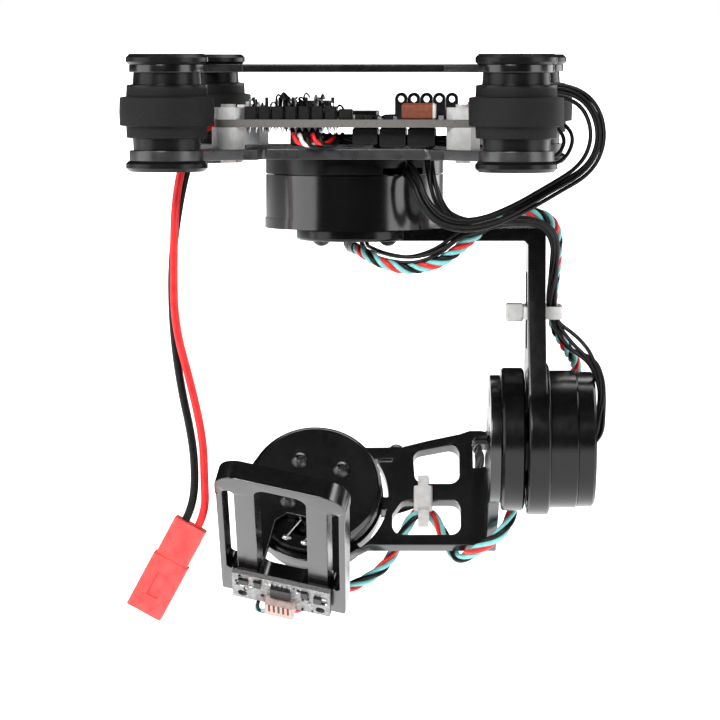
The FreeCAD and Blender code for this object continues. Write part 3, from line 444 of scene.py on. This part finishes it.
def spline_object(name, points, wide=0.0):
    """One open NURBS spline whose control points are the route's points."""
    curve = bpy.data.curves.new(name, "CURVE")
    curve.dimensions = "3D"
    spline = curve.splines.new("NURBS")
    spline.points.add(len(points) - 1)
    for spot, at in zip(spline.points, points):
        spot.co = (*at, 1)
    spline.order_u = 3
    spline.use_endpoint_u = True
    curve.resolution_u = 10
    curve.bevel_depth = wide / 2
    curve.bevel_resolution = 5
    curve.use_fill_caps = wide > 0
    return new_object(name, curve)


def line_of(points):
    """Points along the route's own NURBS spline, read from a curve with no bevel."""
    holder = spline_object("route", points)
    mesh = bpy.data.meshes.new_from_object(holder)
    line = [v.co.copy() for v in mesh.vertices]
    bpy.data.meshes.remove(mesh)
    bpy.data.objects.remove(holder)
    return line


def frames_of(line, flat=False):
    """For each point of a line: how far along it is, and two directions across it. A flat
    bundle's first direction is square to the Y axis, so the flat faces along Y."""
    out, far = [], 0.0
    across = Vector((0, 0, 1))
    for i, here in enumerate(line):
        ahead = (line[min(i + 1, len(line) - 1)] - line[max(i - 1, 0)]).normalized()
        if i:
            far += (here - line[i - 1]).length
        if flat:
            across = Vector((0, 1, 0)).cross(ahead)
        across = (across - ahead * across.dot(ahead)).normalized()
        out.append((far, across, ahead.cross(across)))
    return out


def add_tube(bm, line, radius, sides, look_index):
    rings = []
    for here, (_, a, b) in zip(line, frames_of(line)):
        rings.append([bm.verts.new(here + radius * (math.cos(t) * a + math.sin(t) * b))
                      for t in (2 * math.pi * k / sides for k in range(sides))])
    for one, two in zip(rings, rings[1:]):
        for k in range(sides):
            face = bm.faces.new((one[k], one[(k + 1) % sides], two[(k + 1) % sides], two[k]))
            face.material_index = look_index
    for ring, back in ((rings[0], True), (rings[-1], False)):
        face = bm.faces.new(list(reversed(ring)) if back else ring)
        face.material_index = look_index


def smooth(t):
    t = max(0.0, min(1.0, t))
    return t * t * (3 - 2 * t)


WANDER = 90         # how quickly a loose wire wanders, in turns of the noise per metre


def strands(line, layout, pitch, loose, ends=None, fan=7 * MM, flat=False):
    """The lines of a bundle's wires. layout gives each wire's place across the bundle,
    pitch is the length of one full turn, and ends are where its wires fan out to at last."""
    across = frames_of(line, flat)
    total = across[-1][0]
    out = []
    for k, (u, v) in enumerate(layout):
        wire = []
        for here, (far, a, b) in zip(line, across):
            turn = 2 * math.pi * far / pitch if pitch else 0.0
            wob = noise.noise_vector(here * WANDER + Vector((k * 7.3, 0, 0))) * loose
            x = u * math.cos(turn) - v * math.sin(turn)
            y = u * math.sin(turn) + v * math.cos(turn)
            at = here + a * x + b * y + wob
            if ends:
                at += (ends[k] - line[-1]) * (1 - smooth((total - far) / fan))
            wire.append(at)
        out.append(wire)
    return out


def ring_layout(count, radius, first=0.0):
    return [(radius * math.cos(first + 2 * math.pi * k / count),
             radius * math.sin(first + 2 * math.pi * k / count)) for k in range(count)]


def bundle(name, wires, radius, tones, body=None, sides=8, cut=None):
    """One mesh of several wires; cut is a slice of each wire's points."""
    bm = bmesh.new()
    used = sorted(set(tones))
    for wire, tone in zip(wires, tones):
        add_tube(bm, wire[cut] if cut else wire, radius, sides, used.index(tone))
    return mesh_piece(name, bm, body, [sleeve[t] for t in used], sharp=60)


# ------------------------------------------------------------------ power leads
red_lead = spline_object("red_lead", RED, LEAD_WIDE)
black_lead = spline_object("black_lead", BLACK, LEAD_WIDE)
for lead, tone, node_name, slot_name in ((red_lead, "red", "power_lead_red", "red_lead"),
                                         (black_lead, "black", "power_lead_black", "black_lead")):
    lead.data.materials.append(sleeve[tone])
    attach(lead, "frame")
    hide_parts(node_name)

# ------------------------------------------------------------------ motor and sensor wiring
ribbon_line = line_of(RIBBON)
ribbon_flat = [(MM * .70 * (k - 1.5), MM * .25 * (k % 2)) for k in range(4)]
ribbon_wires = strands(ribbon_line, ribbon_flat, 0, .3 * MM, flat=True)
# one wire stands off from the others where the flat bundle bends up behind the damper
apart = ribbon_wires[0]
for i, (far, across, _) in enumerate(frames_of(ribbon_line, True)):
    share = far / RIBBON_LENGTH
    apart[i] -= across * (.45 * MM * smooth((share - .48) / .14) * smooth((.97 - share) / .1))
ribbon = bundle("yaw_motor_leads", ribbon_wires, .42 * MM, ["black"] * 4, "frame")
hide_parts("yaw_ribbon")

side_flat = [(-.42 * MM, 0), (.46 * MM, .3 * MM)]
bundle("side_leads", strands(line_of(SIDE_LEADS), side_flat, 0, 1.1 * MM), .40 * MM,
       ["black"] * 2, "frame")

loom_line = line_of(placed(LOOM, YAW))
LOOM_RING, LOOM_WIRE_R = .62 * MM, .38 * MM
loom_wires = strands(loom_line, ring_layout(6, LOOM_RING), 60 * MM, .5 * MM)
# below the tie its wires part, and come together again where they enter the motor
LOOM_TIE_POINT, PART_LENGTH = 10, 14 * MM
PARTED = (-1.1, .1, .6, 1.1, 1.6, 2.1)              # mm, each wire's way down and inwards
loom_far = [far for far, _, _ in frames_of(loom_line)]
loom_tie = YAW @ Vector(LOOM[LOOM_TIE_POINT])
inwards = YAW @ Vector((-.7, 0, -.7))
from_tie = loom_far[min(range(len(loom_line)), key=lambda i: (loom_line[i] - loom_tie).length)]
for wire, part in zip(loom_wires, PARTED):
    for i, far in enumerate(loom_far):
        share = (far - from_tie) / PART_LENGTH
        if 0 < share < 1:
            wire[i] += inwards * part * MM * math.sin(math.pi * share) ** 2
loom = bundle("arm_leads", loom_wires, LOOM_WIRE_R, ["black"] * 6)
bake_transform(loom)
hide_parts("arm_lead_loom")

loop_wires = strands(line_of(placed(LOOP_LEADS, YAW)), ring_layout(3, LOOM_RING), 70 * MM,
                     .5 * MM)
loop_leads = bundle("loop_leads", loop_wires, LOOM_WIRE_R, ["black"] * 3)
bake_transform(loop_leads)

SENSOR_TONES = ["red", "teal", "black", "teal"]
SENSOR_RING, SENSOR_WIRE_R = .66 * MM, .50 * MM
TIE_POINT, LEAVES_ARM, JOINS_ROLL = 15, 17, 22      # of the upper route's points
upper_line = line_of(placed(SENSOR_UPPER, YAW))
upper_wires = strands(upper_line, ring_layout(4, SENSOR_RING), 7.6 * MM, .06 * MM)
tie_at = YAW @ Vector(SENSOR_UPPER[TIE_POINT])
at_tie = min(range(len(upper_line)), key=lambda i: (upper_line[i] - tie_at).length)
upper = bundle("sensor_cable_upper", upper_wires, SENSOR_WIRE_R, SENSOR_TONES,
               cut=slice(0, at_tie + 1))
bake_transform(upper)
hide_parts("imu_cable_upper")
middle = bundle("sensor_cable_middle", upper_wires, SENSOR_WIRE_R, SENSOR_TONES,
                cut=slice(at_tie, None))
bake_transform(middle)
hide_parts("imu_cable_upper")

lower_line = line_of(placed(SENSOR_LOWER, ROLL))
lower_ends = [PITCH @ mm(x, 23.0, -28.7) for x in (-1.8, -.6, .6, 1.8)]
lower_wires = strands(lower_line, ring_layout(4, SENSOR_RING), 15 * MM, .06 * MM, lower_ends)
lower = bundle("sensor_cable_lower", lower_wires, SENSOR_WIRE_R, SENSOR_TONES)
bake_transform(lower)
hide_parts("imu_cable_lower")

pitch_line = line_of(placed(PITCH_LOOM, ROLL))
pitch_leads = bundle("pitch_motor_leads",
                     strands(pitch_line, ring_layout(6, LOOM_RING), 50 * MM, .3 * MM), .30 * MM,
                     ["black"] * 6, "roll_stage")
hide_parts("pitch_lead_loom")


# ------------------------------------------------------------------ rounded metal parts
def refined(node_name, width, look_used, steps=2):
    """The node's own shape with every hard edge rounded, as tumbled and anodised metal has."""
    source = NODES[node_name]
    bm = bmesh.new()
    bm.from_mesh(source.data)
    bmesh.ops.remove_doubles(bm, verts=bm.verts, dist=1e-6)
    bmesh.ops.dissolve_limit(bm, angle_limit=math.radians(.4), verts=bm.verts, edges=bm.edges)
    hard = [e for e in bm.edges if len(e.link_faces) == 2
            and e.calc_face_angle(0) > math.radians(38)]
    bmesh.ops.bevel(bm, geom=hard, offset=width, segments=steps, profile=.5, affect="EDGES",
                    clamp_overlap=False)
    bmesh.ops.triangulate(bm, faces=[f for f in bm.faces if len(f.verts) > 4])
    piece = mesh_piece(node_name + "_rounded", bm, source["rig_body"], [look_used])
    weighted = piece.modifiers.new("normals", "WEIGHTED_NORMAL")
    weighted.keep_sharp = True
    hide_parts(node_name)
    return piece


for node_name, width, look_used in (("top_plate", .16, polished), ("bottom_plate", .16, satin),
                                    ("yaw_arm", .2, anodised), ("roll_arm", .2, polished),
                                    ("camera_tray", .2, polished)):
    refined(node_name, width * MM, look_used)


# ------------------------------------------------------------------ fine parts
def add_block(bm, place, low, high, look_index, chamfer=.08 * MM):
    """A small moulded block with chamfered edges, between two corners."""
    made = bmesh.ops.create_cube(bm, size=1.0)["verts"]
    size, mid = high - low, (low + high) / 2
    for v in made:
        v.co = Vector(v.co[i] * size[i] + mid[i] for i in range(3))
    edges = list({e for v in made for e in v.link_edges})
    faces = set(bmesh.ops.bevel(bm, geom=edges, offset=chamfer, segments=1, profile=.5,
                                affect="EDGES")["faces"])
    faces |= {f for v in made if v.is_valid for f in v.link_faces}
    corners = {v for f in faces for v in f.verts}
    faces |= {f for v in corners for f in v.link_faces}
    for v in {v for f in faces for v in f.verts}:
        v.co = place @ v.co
    for f in faces:
        f.material_index = look_index


BEAD_SIDES = 10


def add_bead(bm, at, radius, tall, look_index, down=False):
    """A solder fillet: a small round base rising to a point."""
    sign = -1 if down else 1
    turns_and_groove_shade = [2 * math.pi * k / BEAD_SIDES for k in range(BEAD_SIDES)]
    line = [at + Vector((0, 0, sign * tall * t)) for t in (0, .25, .5, .75, 1)]
    rings = []
    for here, share in zip(line, (1, .72, .45, .3, .16)):
        rings.append([bm.verts.new(here + radius * share * Vector((math.cos(t), math.sin(t), 0)))
                      for t in turns_and_groove_shade])
    for one, two in zip(rings, rings[1:]):
        for k in range(BEAD_SIDES):
            after = (k + 1) % BEAD_SIDES
            face = bm.faces.new((one[k], one[after], two[after], two[k]))
            face.material_index = look_index
    for ring in (rings[0], rings[-1]):
        bm.faces.new(ring).material_index = look_index
    around = {f for ring in rings for v in ring for f in v.link_faces}
    bmesh.ops.recalc_face_normals(bm, faces=list(around))


BOARD_LOW, BOARD_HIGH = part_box("controller_board")
PCB_TOP, PCB_BOTTOM = BOARD_HIGH.z, BOARD_LOW.z
HEADER_LOW, HEADER_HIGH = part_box("header_front")

# cut and curled pin ends behind the front header, and its solder joints under the board
curls, joints_under = bmesh.new(), bmesh.new()
PIN_STEP = 2.54 * MM / 2
PINS, PIN_ROW = 32, 14              # all the pin ends, and those in the regular front row
for k in range(PINS):
    if k < PIN_ROW:
        x = HEADER_LOW.x + PIN_STEP * (k + .5)
        rise = random.uniform(2.6, 4.9) * MM * (1 - .030 * k)
    else:
        x = random.uniform(-13.2, -4.4) * MM
        rise = random.uniform(3.2, 4.7) * MM
    y = HEADER_HIGH.y + random.uniform(.5, 3.4) * MM
    lean = random.uniform(-.9, 1.3) * MM
    top = PCB_TOP + rise
    path = line_of([Vector((x, y, PCB_TOP)), Vector((x, y, top - .4 * MM)),
                    Vector((x + lean * .4, y - .3 * MM, top + .5 * MM)),
                    Vector((x + lean, y - .9 * MM, top + .3 * MM)),
                    Vector((x + lean * 1.3, y - 1.0 * MM, top - .4 * MM))])
    add_tube(curls, path, random.uniform(.17, .26) * MM, 6, 0 if k % 3 else 1)
    if k < PIN_ROW:
        add_bead(joints_under, Vector((x, HEADER_HIGH.y + 1.1 * MM, PCB_BOTTOM)), .55 * MM,
                 random.uniform(.8, 1.5) * MM, 0, down=True)
mesh_piece("header_pin_ends", curls, "frame", [plastic, tin], 50)
for k in range(9):
    foot = Vector((BOARD_LOW.x + (3.2 + 1.9 * k) * MM, (-14 + .6 * (k % 3)) * MM, PCB_BOTTOM))
    add_bead(joints_under, foot, .5 * MM, random.uniform(.7, 1.3) * MM, 0, down=True)
mesh_piece("solder_joints_under", joints_under, "frame", [tin], 40)

# small parts and solder on the top of the board
small = bmesh.new()
SMALL_SIZES = ((1.0, .5, .4), (1.6, .8, .5), (.5, 1.0, .4), (2.0, 1.2, .7))
# where chips and headers already stand, as x and y from and to, in mm
TAKEN = ((-6, 6, -7, 7), (8, 22, -15.5, -11), (-13, -3, -17, -8), (10.4, 17.6, 1.4, 17.6),
         (-16.6, -10.4, 7.4, 14.6))
for k in range(70):
    x, y = random.uniform(-20, 20), random.uniform(-17, 21)
    w, d, h = random.choice(SMALL_SIZES)
    if any(x0 < x < x1 and y0 < y < y1 for x0, x1, y0, y1 in TAKEN):
        continue
    add_block(small, Matrix.Translation((x * MM, y * MM, PCB_TOP)), mm(-w / 2, -d / 2, -.02),
              mm(w / 2, d / 2, h), k % 3)
for x, y, w, h in ((4.7, -23.6, 1.2, .9), (6.6, -23.9, .8, .6), (8.3, -23.2, 1.4, 1.0),
                   (9.6, -23.8, .7, .6), (18.3, -23.4, 1.0, .8), (3.4, -22.2, .9, .7)):
    add_block(small, Matrix.Translation((x * MM, y * MM, PCB_TOP)), mm(-w / 2, -.5, -.02),
              mm(w / 2, .5, h), 2 if w < 1.1 else 0)
mesh_piece("board_small_parts", small, "frame", [plastic, ivory, tin], 30)

# short coloured leads that loop between the front left plug and the board
loops = bmesh.new()
tones = ["red", "white", "black", "red", "black"]
for k, tone in enumerate(tones):
    x = -10.4 + 1.25 * k
    dip = -14.9 - .35 * (k % 3)
    path = line_of([mm(x, -20.4, -13.3 - .3 * (k % 2)), mm(x + .3, -22.6, -13.0),
                    mm(x + 1.0, -23.4, dip), mm(x + 2.6, -22.8, dip - .3),
                    mm(x + 3.9, -20.6, dip + .3), mm(x + 4.4, -17.0, -13.4)])
    add_tube(loops, path, .42 * MM, 8, k)
mesh_piece("sensor_plug_leads", loops, "frame", [sleeve[t] for t in tones], 50)

# black leads tangled behind the plugs under the board, on their way to the motors
PLUG_LOW, PLUG_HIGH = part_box("board_plugs")
DECK_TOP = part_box("bottom_plate")[1].z
TANGLED, BENDS = 9, 7
LOWEST, HIGHEST = DECK_TOP / MM + .8, PCB_BOTTOM / MM - 1.5
tangle = bmesh.new()
for k in range(TANGLED):
    y = -16.6 - .45 * (k % 4)
    spots = []
    for i in range(BENDS):
        share = random.uniform(0, 1)
        spots.append(mm(-7.5 + 4.7 * i + random.uniform(-.8, .8), y + random.uniform(-.4, .4),
                        LOWEST + (HIGHEST - LOWEST) * share))
    add_tube(tangle, line_of(spots), .40 * MM, 8, 0)
mesh_piece("board_leads", tangle, "frame", [sleeve["black"]], 50)

# the sensor board: small parts, plated contacts of its connector, and wire ends
SENSOR_FACE = -27.6
CHIP_SIZES = ((.9, .45, .35), (.45, .9, .35), (.6, .6, .3), (.35, .35, .2))
parts = bmesh.new()
for k in range(64):
    u, d = random.uniform(-9.4, 9.4), random.uniform(12.5, 22.0)
    w, t, h = random.choice(CHIP_SIZES)
    if abs(u) < 3.4 and d > 13.4 or abs(abs(u) - 8) < 1.5 and d > 18.8:
        continue
    add_block(parts, PITCH, mm(u - w / 2, d - t / 2, SENSOR_FACE - h),
              mm(u + w / 2, d + t / 2, SENSOR_FACE + .02), k % 3, .04 * MM)
for k in range(5):
    add_block(parts, PITCH, mm(-2.4 + 1.0 * k, 13.0, SENSOR_FACE - .25),
              mm(-1.9 + 1.0 * k, 14.1, SENSOR_FACE + .02), 2, .04 * MM)
mesh_piece("sensor_board_parts", parts, "pitch_stage", [plastic, ivory, tin], 30)
contacts = bmesh.new()
add_block(contacts, PITCH, mm(-2.62, 18.8, -29.76), mm(2.62, 21.8, -29.66), 1, .03 * MM)
for k in range(6):
    u = -2.4 + .96 * k
    add_block(contacts, PITCH, mm(u - .24, 18.6, -29.86), mm(u + .24, 22.0, -29.66), 0, .05 * MM)
mesh_piece("sensor_contacts", contacts, "pitch_stage", [contact, plastic], 30)
ends = bmesh.new()
for k, (u, look_index) in enumerate(((-3.2, 0), (-3.5, 1))):
    spots = [mm(u + .8, 23.4, -28.9), mm(u - .6, 23.9 - .4 * k, -29.3),
             mm(u - 1.5, 22.4 + .9 * k, -29.2), mm(u - 1.3, 21.0 + 1.6 * k, -28.5)]
    add_tube(ends, line_of(placed(spots, PITCH)), .4 * MM, 8, look_index)
mesh_piece("sensor_wire_ends", ends, "pitch_stage",
           [sleeve["black"], sleeve["teal"]], 50)

# two soldered rods on the pitch rotor, seen through the tray
rods = bmesh.new()
ROTOR_FACE = 23.9
for u0, w0, u1, w1 in ((-3.1, -12.0, -.4, -6.0), (.9, -12.3, 1.8, -7.2)):
    spots = [mm(u0, ROTOR_FACE, w0), mm((u0 + u1) / 2, ROTOR_FACE - .1, (w0 + w1) / 2),
             mm(u1, ROTOR_FACE, w1)]
    add_tube(rods, line_of(placed(spots, PITCH)), .22 * MM, 8, 0)
    for k in range(2):
        radius = (.75 - .2 * k) * MM
        bead = bmesh.ops.create_icosphere(rods, subdivisions=2, radius=radius)["verts"]
        for v in bead:
            flat = Vector((v.co.x * 1.2, v.co.y * .5, v.co.z * .8))
            v.co = PITCH @ (flat + mm(u0 + .5 * k, ROTOR_FACE, w0))
mesh_piece("rotor_solder", rods, "pitch_stage", [tin], 60)


# ------------------------------------------------------------------ stage and light
FLOOR_Z = cad_low.z - 30 * MM
FLOOR_WIDE, FLOOR_BACK, FLOOR_FRONT = 3.0, 3.0, -.36
PAPER_GLOW = .95
sheet = bmesh.new()
for x, y in ((-FLOOR_WIDE, FLOOR_FRONT), (FLOOR_WIDE, FLOOR_FRONT), (FLOOR_WIDE, FLOOR_BACK),
             (-FLOOR_WIDE, FLOOR_BACK)):
    sheet.verts.new((x, y, FLOOR_Z))
sheet.faces.new(sheet.verts)
sheet_mesh = bpy.data.meshes.new("floor")
sheet.to_mesh(sheet_mesh)
sheet.free()
floor = new_object("floor", sheet_mesh)
paper, tree, shader = nodes_of("paper")
tree.links.new(tint(tree, spread(tree, grain(tree, 3), 0, 1), (.86, .86, .86), (.90, .90, .90)),
               shader.inputs["Base Color"])
shader.inputs["Roughness"].default_value = .95
shader.inputs["Emission Color"].default_value = (1, 1, 1, 1)
shader.inputs["Emission Strength"].default_value = PAPER_GLOW
sheet_mesh.materials.append(paper)

# a narrow white card behind the object, for the pale rims on its edges
CARD_Y, CARD_HALF, CARD_LOW, CARD_HIGH = 1.4, .34, FLOOR_Z, .02
card_mesh = bpy.data.meshes.new("card")
card_mesh.from_pydata([(-CARD_HALF, CARD_Y, CARD_LOW), (CARD_HALF, CARD_Y, CARD_LOW),
                       (CARD_HALF, CARD_Y, CARD_HIGH), (-CARD_HALF, CARD_Y, CARD_HIGH)], [],
                      [(0, 1, 2, 3)])
card_mesh.materials.append(paper)
new_object("card", card_mesh)

# a white room to look at, and a dark one to reflect, as black metal is lit in a studio
DARK_ROOM = (.012, .012, .013)
world = bpy.data.worlds.new("studio")
bpy.context.scene.world = world
world.use_nodes = True
tree = world.node_tree
seen = tree.nodes.new("ShaderNodeLightPath")
tree.links.new(tint(tree, seen.outputs["Is Camera Ray"], DARK_ROOM, (1, 1, 1)),
               tree.nodes["Background"].inputs["Color"])
tree.nodes["Background"].inputs["Strength"].default_value = 1.0


def softbox(name, turn, rise, far, wide, tall, power):
    """A rectangular light round the object: turn is from the camera's side towards -X."""
    a, e = math.radians(turn), math.radians(rise)
    light = bpy.data.lights.new(name, "AREA")
    light.shape = "RECTANGLE"
    light.size, light.size_y, light.energy = wide, tall, power
    obj = new_object(name, light)
    at = Vector((-math.sin(a) * math.cos(e), -math.cos(a) * math.cos(e), math.sin(e)))
    obj.location = CENTRE + at * far
    obj.rotation_euler = (-at).to_track_quat("-Z", "Y").to_euler()


CENTRE = (cad_low + cad_high) / 2
softbox("light_left", 70, 2, 1.0, .90, 1.1, 6.8)
softbox("light_right", -128, 4, 1.1, .7, 1.1, 7)
softbox("light_front", 16, 27, 1.4, .5, .4, 15)
softbox("light_rear", 180, 62, 1.1, .9, .6, 9)
softbox("light_high_left", 62, 34, 1.2, .35, .35, 2.5)
softbox("light_band_right", -63, 2, 1.1, .62, .9, 4.6)
softbox("light_high_right", -62, 34, 1.2, .35, .35, 2.5)

bpy.context.scene.view_settings.view_transform = "Standard"
